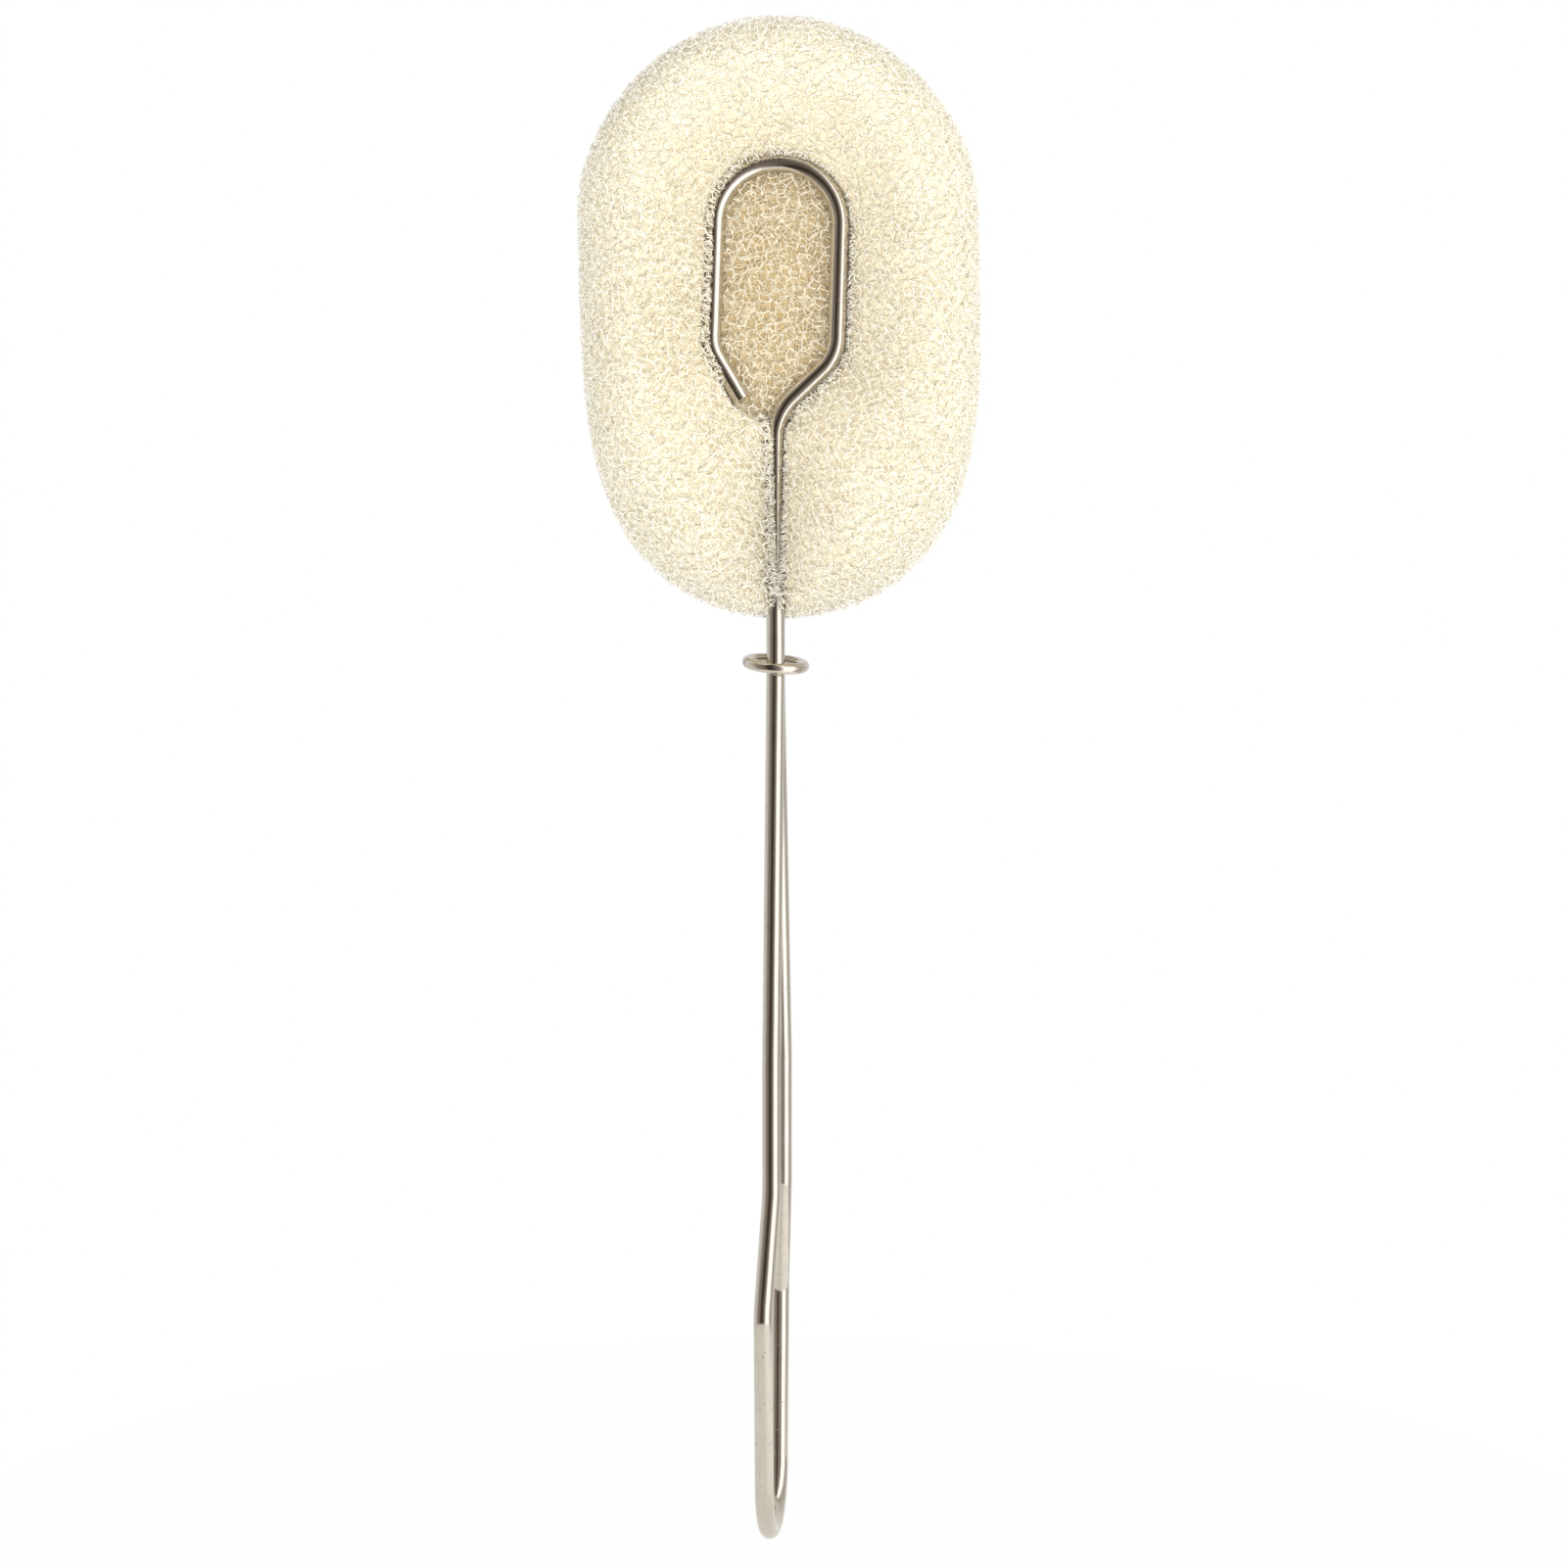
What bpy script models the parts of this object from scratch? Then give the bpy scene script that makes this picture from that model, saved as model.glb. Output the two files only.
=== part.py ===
# Sponge bottle brush, upright: one spring wire folded into a tong, the ring that holds its
# legs together, and the foam sponge that its two head loops clamp.
#
# +Z runs from the handle's end bend up to the sponge, +X is the sponge's width and -Y is the
# front. The origin is the lowest point of the end bend. Lengths are metres, angles radians.
#
# The real wire is one piece that flexes. Its legs turn here at two flex points each, so it is
# built as five lengths of wire: the end bend, two legs and two jaws.

import math

import bmesh
import bpy
from mathutils import Matrix, Vector

MM = 0.001
FRONT = -1
BACK = 1

# Wire
wire_diameter = 3.4 * MM
wire_gap = 0.2 * MM  # between the two wires where the ring holds them
flex_gap = 0.4 * MM  # between two lengths of wire at a flex point
wire_radius = wire_diameter / 2
waist_half_spread = wire_radius + wire_gap / 2

# Handle: the half spreads are from the middle plane to a wire's centre, along the leg plane
bend_radius = 10.8 * MM  # of the end bend, to the wire's centre
eye_half_spread = 12.2 * MM  # widest place of the hanging eye
grip_half_spread = 8.7 * MM  # between the joggle and the knee
joggle_low_height = 43.5 * MM
joggle_length = 20.5 * MM
grip_length = 24.0 * MM  # from the joggle to the knee
taper_length = 70.8 * MM  # from the knee to the waist
waist_length = 6.2 * MM  # the wires lie side by side along it
joggle_high_height = joggle_low_height + joggle_length
knee_height = joggle_high_height + grip_length
waist_low_height = knee_height + taper_length
waist_high_height = waist_low_height + waist_length
grip_side = 0.3 * MM  # the grip lies a little to the right of the stem
eye_side = -0.7 * MM  # and the hanging eye a little to the left
joggle_bend_radius = 14.0 * MM
waist_bend_radius = 16.0 * MM
leg_turn = math.radians(8.4)  # the legs spread in a plane turned this far about the stem

# Jaws: each ends in a loop with an open end
jaw_depth = 11.0 * MM  # from the middle plane to the loop's wire centre
stem_length = 39.3 * MM  # from the waist to the neck
shoulder_length = 11.9 * MM  # from the neck up to where the loop's open side starts
shoulder_drop = 1.6 * MM  # its other side starts lower by this much
loop_length = 33.4 * MM  # from there to the loop's top
neck_side = 0.1 * MM
loop_half_width = 11.2 * MM
loop_low_side = -0.3 * MM  # middle of the loop at its low end
loop_top_side = 0.8 * MM  # and at its top, so that it leans to the right
tip_side = -6.1 * MM  # the wire's cut end
tip_rise = 2.7 * MM  # above the neck
neck_height = waist_high_height + stem_length
tip_height = neck_height + tip_rise
loop_low_height = neck_height + shoulder_length
loop_top_height = loop_low_height + loop_length
shoulder_height = loop_low_height - shoulder_drop
neck_bend_radius = 9.0 * MM
shoulder_bend_radius = 8.5 * MM
tip_bend_radius = 7.0 * MM

# Lock ring
ring_wire_diameter = 2.0 * MM
ring_bore = 8.4 * MM
ring_rise = 1.5 * MM  # above the waist's low end
ring_tilt = math.radians(19.5)  # its front hangs lower
ring_roll = math.radians(3.5)  # its left end is higher
ring_butt_gap = 0.2 * MM  # between the two ends of its wire
ring_height = waist_low_height + ring_rise
ring_wire_radius = ring_wire_diameter / 2
ring_radius = ring_bore / 2 + ring_wire_radius

# Sponge
sponge_half_width = 36.7 * MM
sponge_half_depth = 21.5 * MM
sponge_lift = 10.6 * MM  # of its widest place above the loop's middle
sponge_rise = 33.8 * MM  # from the widest place up to the top
sponge_drop = 74.7 * MM  # from the widest place down to the bottom
sponge_side = 0.45 * MM  # its middle is a little to the right of the stem
sponge_lean = math.radians(-1.3)  # its top leans to the left
sponge_edge_round = 13.0 * MM  # from the rim in to the crown
top_squareness = (2.05, 1.74)  # of the outline, across and up. 2 is an ellipse
bottom_squareness = (2.02, 4.28)
edge_squareness = 2.3
loop_valley_width = 17.0 * MM  # from the loop's wire out to the crown
stem_valley_width = 9.0 * MM
island_rise = 0.6 * MM  # of the foam inside the loop
stem_cover = 1.6 * MM  # of foam over the stem, half way along it
wire_clearance = 0.3 * MM  # between the foam and the wire
sponge_widest_height = (loop_low_height + loop_top_height) / 2 + sponge_lift
rest_flat_depth = 0.5 * MM  # the back crown is flat by this much, where the sponge rests
cut_overrun = 5.0 * MM

# Fineness
arc_step = 1.5 * MM  # along a wire's bends
groove_step = 4.6 * MM  # along the bends of its bed in the foam
bend_steps = 20
ring_steps = 44
ring_sides = 8
wire_sides = 12
groove_sides = 6
sponge_spokes = 34
spoke_crowding = 0.45  # brings the spokes closer together at the stem
# From the middle of the loop, 0, to the rim, 1. The last is the rim itself.
sponge_ring_shares = (0.13, 0.24, 0.36, 0.48, 0.60, 0.71, 0.80, 0.88, 0.95, 1.0)

part_collection = bpy.data.collections.new("sponge_bottle_brush")
cutter_collection = bpy.data.collections.new("cutters")


def clear_scene():
    for thing in list(bpy.data.objects):
        bpy.data.objects.remove(thing, do_unlink=True)
    for collection in (part_collection, cutter_collection):
        bpy.context.scene.collection.children.link(collection)


def make_material(name, colour, roughness, metallic):
    material = bpy.data.materials.new(name)
    material.use_nodes = True
    shader = material.node_tree.nodes["Principled BSDF"]
    shader.inputs["Base Color"].default_value = (*colour, 1.0)
    shader.inputs["Roughness"].default_value = roughness
    shader.inputs["Metallic"].default_value = metallic
    return material


def leg_point(side, half_spread, height, offset=0.0):
    """A point on a wire's centre line. The wires part in the turned leg plane below the ring."""
    opened = half_spread - waist_half_spread
    x = offset + side * opened * math.sin(leg_turn)
    y = side * (waist_half_spread + opened * math.cos(leg_turn))
    return Vector((x, y, height))


def bend_height():
    """Height of the end bend's centre."""
    return bend_radius + wire_radius


def bend_end(side):
    return leg_point(side, bend_radius, bend_height(), eye_side)


def knee(side):
    return leg_point(side, grip_half_spread, knee_height, grip_side)


def leg_corners(side):
    """Corners of a leg and the bend radius at each."""
    return [
        (bend_end(side), 0.0),
        (leg_point(side, eye_half_spread, joggle_low_height, eye_side), joggle_bend_radius),
        (leg_point(side, grip_half_spread, joggle_high_height, grip_side), joggle_bend_radius),
        (knee(side), 0.0),
    ]


def jaw_corners(side):
    """Corners of a jaw, from the knee through the waist and round the loop to its cut end."""
    depth = side * jaw_depth
    return [
        (knee(side), 0.0),
        (leg_point(side, waist_half_spread, waist_low_height), waist_bend_radius),
        (leg_point(side, waist_half_spread, waist_high_height), waist_bend_radius),
        (Vector((neck_side, depth, neck_height)), neck_bend_radius),
        (Vector((loop_low_side + loop_half_width, depth, shoulder_height)), shoulder_bend_radius),
        (Vector((loop_top_side + loop_half_width, depth, loop_top_height)), loop_half_width),
        (Vector((loop_top_side - loop_half_width, depth, loop_top_height)), loop_half_width),
        (Vector((loop_low_side - loop_half_width, depth, loop_low_height)), tip_bend_radius),
        (Vector((tip_side, depth, tip_height)), 0.0),
    ]


def round_corner(before, corner, after, radius, step_length):
    """Points along the arc that rounds off one corner."""
    back = (before - corner).normalized()
    ahead = (after - corner).normalized()
    turn = math.pi - back.angle(ahead)
    start = corner + back * radius * math.tan(turn / 2)
    end = corner + ahead * radius * math.tan(turn / 2)
    centre = corner + (back + ahead).normalized() * radius / math.cos(turn / 2)
    axis = (start - centre).cross(end - centre)
    steps = max(2, round(radius * turn / step_length))
    turns = [Matrix.Rotation(turn * step / steps, 3, axis) for step in range(steps + 1)]
    return [centre + rotation @ (start - centre) for rotation in turns]


def rounded_path(corners, step_length=arc_step):
    points = [corners[0][0]]
    for (before, _), (corner, radius), (after, _) in zip(corners, corners[1:], corners[2:]):
        points += round_corner(before, corner, after, radius, step_length)
    points.append(corners[-1][0])
    return [p for p, q in zip(points, points[1:]) if (q - p).length > wire_gap] + points[-1:]


def trimmed(points, start_cut, end_cut):
    """The path with a little taken off each end."""
    start = points[0] + (points[1] - points[0]).normalized() * start_cut
    end = points[-1] + (points[-2] - points[-1]).normalized() * end_cut
    return [start] + points[1:-1] + [end]


def bend_path():
    """The end bend: a half circle that hangs from the lower ends of both legs."""
    ends = (bend_end(FRONT), bend_end(BACK))
    centre = (ends[0] + ends[1]) / 2
    across = (ends[1] - ends[0]) / 2
    down = Vector((0.0, 0.0, -across.length))
    angles = [math.pi * step / bend_steps for step in range(bend_steps + 1)]
    return [centre - across * math.cos(a) + down * math.sin(a) for a in angles]


def leg_path(side):
    return trimmed(rounded_path(leg_corners(side)), flex_gap / 2, flex_gap / 2)


def jaw_path(side):
    return trimmed(rounded_path(jaw_corners(side)), flex_gap / 2, 0.0)


def ring_path():
    """The lock ring's centre line, from one end of its wire round to the other."""
    half_gap = ring_butt_gap / ring_radius / 2
    sweep = 2 * math.pi - 2 * half_gap
    angles = [math.pi + half_gap + sweep * step / ring_steps for step in range(ring_steps + 1)]
    lean = Matrix.Rotation(ring_roll, 3, "Y") @ Matrix.Rotation(ring_tilt, 3, "X")
    centre = Vector((0.0, 0.0, ring_height))
    return [centre + lean @ Vector((ring_radius * math.cos(a), ring_radius * math.sin(a), 0.0)) for a in angles]


def wire_curve(name, points, radius, sides, collection):
    """A round wire along a path, with flat cut ends."""
    curve = bpy.data.curves.new(name, "CURVE")
    curve.dimensions = "3D"
    curve.bevel_depth = radius
    curve.bevel_resolution = sides // 2 - 2
    curve.use_fill_caps = True
    spline = curve.splines.new("POLY")
    spline.points.add(len(points) - 1)
    for target, point in zip(spline.points, points):
        target.co = (*point, 1.0)
    wire = bpy.data.objects.new(name, curve)
    collection.objects.link(wire)
    return wire


def as_mesh(curve_object):
    """The same tube as a closed mesh, with its caps joined on."""
    bpy.context.view_layer.update()
    evaluated = curve_object.evaluated_get(bpy.context.evaluated_depsgraph_get())
    mesh = bpy.data.meshes.new_from_object(evaluated)
    shape = bmesh.new()
    shape.from_mesh(mesh)
    bmesh.ops.remove_doubles(shape, verts=shape.verts, dist=wire_gap * 0.01)
    bmesh.ops.recalc_face_normals(shape, faces=shape.faces)
    shape.to_mesh(mesh)
    shape.free()
    name, place = curve_object.name, curve_object.matrix_world.copy()
    bpy.data.objects.remove(curve_object, do_unlink=True)
    solid = bpy.data.objects.new(name, mesh)
    solid.matrix_world = place
    cutter_collection.objects.link(solid)
    return solid


def loop_middle():
    """Middle of the head loop, from which the sponge's spokes run out."""
    middle = (loop_low_side + loop_top_side) / 2
    return Vector((middle, 0.0, (loop_low_height + loop_top_height) / 2))


def sponge_rim(angle):
    """A point of the sponge's outline, seen from the front. Angle 0 is the bottom."""
    across = math.sin(angle)
    up = -math.cos(angle)
    height, powers = (sponge_rise, top_squareness) if up > 0 else (sponge_drop, bottom_squareness)
    x = math.copysign(sponge_half_width * abs(across) ** (2 / powers[0]), across)
    z = math.copysign(height * abs(up) ** (2 / powers[1]), up)
    leaned = Matrix.Rotation(sponge_lean, 3, "Y") @ Vector((x, 0.0, z))
    return leaned + Vector((sponge_side, 0.0, sponge_widest_height))


def fading(distance, width):
    """1 beside the wire, falling to 0 at a valley's edge, steepest at the wire."""
    return max(0.0, 1.0 - distance / width) ** 2


def stem_share(height):
    """0 where the stem leaves the waist and 1 at the neck."""
    return min(1.0, max(0.0, (height - waist_high_height) / (neck_height - waist_high_height)))


def stem_depth(height):
    """How far in front of the middle plane the stem's centre line lies."""
    return waist_half_spread + (jaw_depth - waist_half_spread) * stem_share(height)


def loop_distance(point):
    """How far outside the loop's wire a point lies. Inside the loop this is zero."""
    low = loop_low_height
    high = loop_top_height - loop_half_width
    middle = (loop_low_side + loop_top_side) / 2
    nearest = Vector((middle, 0.0, min(high, max(low, point.z))))
    return max(0.0, (point - nearest).length - loop_half_width)


def sponge_surface(point, inset):
    """How far the sponge's face lies from the middle plane, under a point of the front view."""
    share = min(1.0, inset / sponge_edge_round)
    crown = sponge_half_depth * (1.0 - (1.0 - share) ** edge_squareness) ** (1 / edge_squareness)
    floor = jaw_depth + island_rise
    loop_face = floor + (crown - floor) * (1.0 - fading(loop_distance(point), loop_valley_width))
    along = stem_share(point.z)
    bed = stem_depth(point.z) + stem_cover * math.sin(math.pi * along)
    groove = fading(abs(point.x), stem_valley_width) if point.z < loop_low_height else 0.0
    stem_face = bed * groove + crown * (1.0 - groove)
    return min(crown, max(0.0, min(loop_face, stem_face)))


def sponge_point(direction):
    """Where a point of a unit sphere goes. The sphere's poles become the faces' middles."""
    rings = len(sponge_ring_shares)
    tilt = math.acos(max(-1.0, min(1.0, direction.z)))
    ring = round(tilt / (math.pi / 2) * rings)
    side = FRONT if ring <= rings else BACK
    share = ([0.0] + list(sponge_ring_shares))[min(ring, 2 * rings - ring)]
    turn = math.atan2(direction.y, direction.x)
    angle = turn - spoke_crowding * math.sin(turn)
    rim = sponge_rim(angle)
    middle = loop_middle()
    point = middle.lerp(rim, share)
    depth = sponge_surface(point, (rim - point).length)
    return point + Vector((0.0, side * depth, 0.0))


def build_sponge(material):
    """A rounded block of foam, pinched where the two loops and their stems press in."""
    shape = bmesh.new()
    bands = 2 * len(sponge_ring_shares)
    bmesh.ops.create_uvsphere(shape, u_segments=sponge_spokes, v_segments=bands, radius=1.0)
    for vertex in shape.verts:
        vertex.co = sponge_point(vertex.co.copy())
    mesh = bpy.data.meshes.new("sponge")
    shape.to_mesh(mesh)
    shape.free()
    mesh.shade_smooth()
    sponge = bpy.data.objects.new("sponge", mesh)
    sponge.data.materials.append(material)
    part_collection.objects.link(sponge)
    cut(sponge, flat_cutter())
    for side in (FRONT, BACK):
        cut(sponge, groove_cutter(side))


def groove_cutter(side):
    """The bed of one jaw's wire in the foam."""
    name = "front_groove" if side == FRONT else "back_groove"
    points = trimmed(rounded_path(jaw_corners(side), groove_step), 0.0, -wire_clearance)
    # a tube with few sides is made wider, so that its flats still clear the wire
    radius = (wire_radius + wire_clearance) / math.cos(math.pi / groove_sides)
    return as_mesh(wire_curve(name, points, radius, groove_sides, cutter_collection))


def flat_cutter():
    """A slab behind the sponge that takes the top off its back crown."""
    bpy.ops.mesh.primitive_cube_add(size=1.0)
    slab = bpy.context.object
    slab.name = "rest_flat"
    width = 2 * (sponge_half_width + cut_overrun)
    height = sponge_rise + sponge_drop + 2 * cut_overrun
    slab.scale = (width, cut_overrun, height)
    middle = sponge_widest_height + (sponge_rise - sponge_drop) / 2
    slab.location = (sponge_side, sponge_half_depth - rest_flat_depth + cut_overrun / 2, middle)
    bpy.ops.object.transform_apply(location=False, rotation=False, scale=True)
    for collection in list(slab.users_collection):
        collection.objects.unlink(slab)
    cutter_collection.objects.link(slab)
    return slab


def cut(target, cutter):
    cutter.hide_render = True
    cutter.display_type = "WIRE"
    modifier = target.modifiers.new("cut_" + cutter.name, "BOOLEAN")
    modifier.operation = "DIFFERENCE"
    modifier.solver = "EXACT"
    modifier.object = cutter


def pivot(name, place):
    """An empty on a flex point, which carries the length of wire that turns there."""
    empty = bpy.data.objects.new(name, None)
    empty.location = place
    part_collection.objects.link(empty)
    return empty


def build_wire(material):
    bend = wire_curve("end_bend", trimmed(bend_path(), flex_gap / 2, flex_gap / 2), wire_radius,
                      wire_sides, part_collection)
    bend.data.materials.append(material)
    for side, word in ((FRONT, "front"), (BACK, "back")):
        bend_pivot = pivot(word + "_bend_pivot", bend_end(side))
        knee_pivot = pivot(word + "_knee_pivot", knee(side) - bend_end(side))
        knee_pivot.parent = bend_pivot
        leg = wire_curve(word + "_leg", [p - bend_end(side) for p in leg_path(side)], wire_radius,
                         wire_sides, part_collection)
        leg.parent = bend_pivot
        jaw = wire_curve(word + "_jaw", [p - knee(side) for p in jaw_path(side)], wire_radius,
                         wire_sides, part_collection)
        jaw.parent = knee_pivot
        for length in (leg, jaw):
            length.data.materials.append(material)


def build_ring(material):
    ring = wire_curve("lock_ring", ring_path(), ring_wire_radius, ring_sides, part_collection)
    ring.data.materials.append(material)


def main():
    clear_scene()
    steel = make_material("polished_steel_wire", (0.62, 0.59, 0.55), 0.16, 1.0)
    ring_steel = make_material("polished_steel_ring", (0.66, 0.62, 0.57), 0.2, 1.0)
    foam = make_material("cream_foam", (0.93, 0.86, 0.68), 0.9, 0.0)
    build_wire(steel)
    build_ring(ring_steel)
    build_sponge(foam)


main()
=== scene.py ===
# Sponge bottle brush: a spring wire tong that clamps a block of cream foam, on a pale floor.
# Lengths are metres. +Z runs up the stem, +X is the sponge's width and -Y is the front.
import bpy
import math
import numpy as np
from mathutils import Matrix, Vector
from mathutils.bvhtree import BVHTree
from mathutils.kdtree import KDTree


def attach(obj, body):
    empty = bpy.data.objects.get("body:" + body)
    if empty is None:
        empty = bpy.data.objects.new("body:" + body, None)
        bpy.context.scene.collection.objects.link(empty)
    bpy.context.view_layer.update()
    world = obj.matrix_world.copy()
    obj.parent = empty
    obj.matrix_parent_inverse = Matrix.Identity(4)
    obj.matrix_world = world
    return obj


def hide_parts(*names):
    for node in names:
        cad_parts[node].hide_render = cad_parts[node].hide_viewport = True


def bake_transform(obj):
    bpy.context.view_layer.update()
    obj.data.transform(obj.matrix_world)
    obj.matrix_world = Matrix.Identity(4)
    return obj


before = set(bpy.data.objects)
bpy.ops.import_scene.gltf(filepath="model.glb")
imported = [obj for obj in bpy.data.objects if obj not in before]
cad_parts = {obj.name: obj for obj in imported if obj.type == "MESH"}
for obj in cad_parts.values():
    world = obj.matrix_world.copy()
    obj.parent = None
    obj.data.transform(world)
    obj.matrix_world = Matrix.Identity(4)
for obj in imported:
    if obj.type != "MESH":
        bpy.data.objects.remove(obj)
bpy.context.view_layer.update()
print("frame loaded:", ", ".join(sorted(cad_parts)))
bpy.ops.object.select_all(action="DESELECT")

mm = 0.001
front = -1
back = 1


class Value:  # a node's output that can be used in plain expressions
    def __init__(self, tree, socket):
        self.tree = tree
        self.socket = socket

    def maths(self, operation, *others):
        node = self.tree.nodes.new("ShaderNodeMath")
        node.operation = operation
        for place, item in enumerate((self,) + others):
            if isinstance(item, Value):
                self.tree.links.new(item.socket, node.inputs[place])
            else:
                node.inputs[place].default_value = item
        return Value(self.tree, node.outputs[0])

    def __add__(self, other):
        return self.maths("ADD", other)

    def __mul__(self, other):
        return self.maths("MULTIPLY", other)

    def __sub__(self, other):
        return self.maths("SUBTRACT", other)

    def __rsub__(self, other):
        return (self * -1.0) + other

    __radd__ = __add__
    __rmul__ = __mul__


class NodeTree:  # the node tree of a material or the world
    def __init__(self, tree):
        self.tree = tree

    def node(self, kind, settings=None, output=0, **sockets):  # in_2 is the third input
        node = self.tree.nodes.new(kind)
        for key, setting in (settings or {}).items():
            if key == "stops":
                ramp = node.color_ramp
                while len(ramp.elements) < len(setting):
                    ramp.elements.new(0.5)
                for element, (place, tone) in zip(ramp.elements, setting):
                    element.position = place
                    element.color = colour(*tone)
            else:
                setattr(node, key, setting)
        for key, item in sockets.items():
            name = key.replace("_", " ")
            target = node.inputs[int(name[3:])] if name.startswith("in ") else node.inputs[name]
            self.feed(target, item)
        return Value(self.tree, node.outputs[output]) if node.outputs else None

    def feed(self, target, item):
        if isinstance(item, Value):
            self.tree.links.new(item.socket, target)
        else:
            target.default_value = item

    def parts(self, vector):  # its X, Y and Z
        split = self.node("ShaderNodeSeparateXYZ", Vector=vector).socket.node
        return [Value(self.tree, output) for output in split.outputs]

    def mix(self, factor, low, high):
        return self.node("ShaderNodeMix", {"data_type": "RGBA"}, output=2,
                         in_0=factor, in_6=low, in_7=high)

    def spread(self, value, low, high, newLow=0.0, newHigh=1.0):
        return self.node("ShaderNodeMapRange", {"clamp": True}, in_0=value, in_1=low, in_2=high,
                         in_3=newLow, in_4=newHigh)


class Finish(NodeTree):  # a material
    def __init__(self, name):
        self.material = bpy.data.materials.new(name)
        self.material.use_nodes = True
        super().__init__(self.material.node_tree)
        self.shader = self.tree.nodes["Principled BSDF"]

    def place(self, scale=(1.0, 1.0, 1.0)):
        where = self.node("ShaderNodeTexCoord", output="Object")
        return self.node("ShaderNodeMapping", Vector=where, Scale=scale)

    def noise(self, place, scale, detail=2.0, roughness=0.5, output=0):
        return self.node("ShaderNodeTexNoise", output=output, Vector=place, Scale=scale,
                         Detail=detail, Roughness=roughness)

    def drive(self, name, item):
        self.feed(self.shader.inputs[name], item)


def colour(red, green, blue):
    return (red, green, blue, 1.0)


def selectOnly(piece):
    bpy.ops.object.select_all(action="DESELECT")
    piece.select_set(True)
    bpy.context.view_layer.objects.active = piece


# the handle: one spring wire, drawn as five pieces that bend into each other
wire = dict(
    radius=1.7 * mm, sides=32, waistHalfSpread=1.8 * mm,
    bendRadius=10.8 * mm, bendSteps=64, eyeHalfSpread=12.2 * mm, gripHalfSpread=8.7 * mm,
    joggleLow=43.5 * mm, joggleHigh=64.0 * mm, kneeHeight=88.0 * mm,
    waistLow=158.8 * mm, waistHigh=165.0 * mm,
    gripSide=0.3 * mm, eyeSide=-0.7 * mm, joggleRadius=14.0 * mm, waistRadius=16.0 * mm,
    legTurn=math.radians(8.4),
    jawDepth=11.0 * mm, neckHeight=204.3 * mm, neckSide=0.1 * mm,
    loopHalfWidth=11.2 * mm, shoulderHeight=214.6 * mm, loopLow=216.2 * mm, loopTop=249.6 * mm,
    loopLowSide=-0.3 * mm, loopTopSide=0.8 * mm,
    tipSide=-6.1 * mm, tipHeight=207.0 * mm,
    neckRadius=9.0 * mm, shoulderRadius=8.5 * mm, tipRadius=7.0 * mm,
    legSplit=14.0 * mm, jawSplit=70.0 * mm,
    arcStep=0.5 * mm, bendStep=2.0 * mm, legStep=1.5 * mm, leastStep=0.05 * mm,
    mergeWithin=0.001 * mm, smoothAngle=math.radians(40.0),
)


def legPoint(side, halfSpread, height, offset=0.0):
    opened = halfSpread - wire["waistHalfSpread"]
    x = offset + side * opened * math.sin(wire["legTurn"])
    y = side * (wire["waistHalfSpread"] + opened * math.cos(wire["legTurn"]))
    return Vector((x, y, height))


def bendEnd(side):
    height = wire["bendRadius"] + wire["radius"]
    return legPoint(side, wire["bendRadius"], height, wire["eyeSide"])


def knee(side):
    return legPoint(side, wire["gripHalfSpread"], wire["kneeHeight"], wire["gripSide"])


def roundCorner(before, corner, after, radius):
    into = (before - corner).normalized()
    out = (after - corner).normalized()
    turn = math.pi - into.angle(out)
    start = corner + into * radius * math.tan(turn / 2)
    end = corner + out * radius * math.tan(turn / 2)
    centre = corner + (into + out).normalized() * radius / math.cos(turn / 2)
    axis = (start - centre).cross(end - centre)
    steps = max(3, round(radius * turn / wire["arcStep"]))
    turns = [Matrix.Rotation(turn * step / steps, 3, axis) for step in range(steps + 1)]
    return [centre + part @ (start - centre) for part in turns]


def roundedPath(corners):
    points = [corners[0][0]]
    for (before, _), (corner, radius), (after, _) in zip(corners, corners[1:], corners[2:]):
        points += roundCorner(before, corner, after, radius)
    points.append(corners[-1][0])
    apart = [p for p, q in zip(points, points[1:]) if (q - p).length > wire["leastStep"]]
    return apart + points[-1:]


def legCorners(side):
    low = legPoint(side, wire["eyeHalfSpread"], wire["joggleLow"], wire["eyeSide"])
    high = legPoint(side, wire["gripHalfSpread"], wire["joggleHigh"], wire["gripSide"])
    return [
        (bendEnd(side), 0.0),
        (low, wire["joggleRadius"]),
        (high, wire["joggleRadius"]),
        (knee(side), 0.0),
    ]


def jawCorners(side):
    depth = side * wire["jawDepth"]
    halfWidth = wire["loopHalfWidth"]
    low, top = wire["loopLowSide"], wire["loopTopSide"]
    return [
        (knee(side), 0.0),
        (legPoint(side, wire["waistHalfSpread"], wire["waistLow"]), wire["waistRadius"]),
        (legPoint(side, wire["waistHalfSpread"], wire["waistHigh"]), wire["waistRadius"]),
        (Vector((wire["neckSide"], depth, wire["neckHeight"])), wire["neckRadius"]),
        (Vector((low + halfWidth, depth, wire["shoulderHeight"])), wire["shoulderRadius"]),
        (Vector((top + halfWidth, depth, wire["loopTop"])), halfWidth),
        (Vector((top - halfWidth, depth, wire["loopTop"])), halfWidth),
        (Vector((low - halfWidth, depth, wire["loopLow"])), wire["tipRadius"]),
        (Vector((wire["tipSide"], depth, wire["tipHeight"])), 0.0),
    ]


def bendPath():
    ends = (bendEnd(front), bendEnd(back))
    centre = (ends[0] + ends[1]) / 2
    across = (ends[1] - ends[0]) / 2
    down = Vector((0.0, 0.0, -across.length))
    steps = wire["bendSteps"]
    angles = [math.pi * step / steps for step in range(steps + 1)]
    return [centre - across * math.cos(a) + down * math.sin(a) for a in angles]


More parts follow.
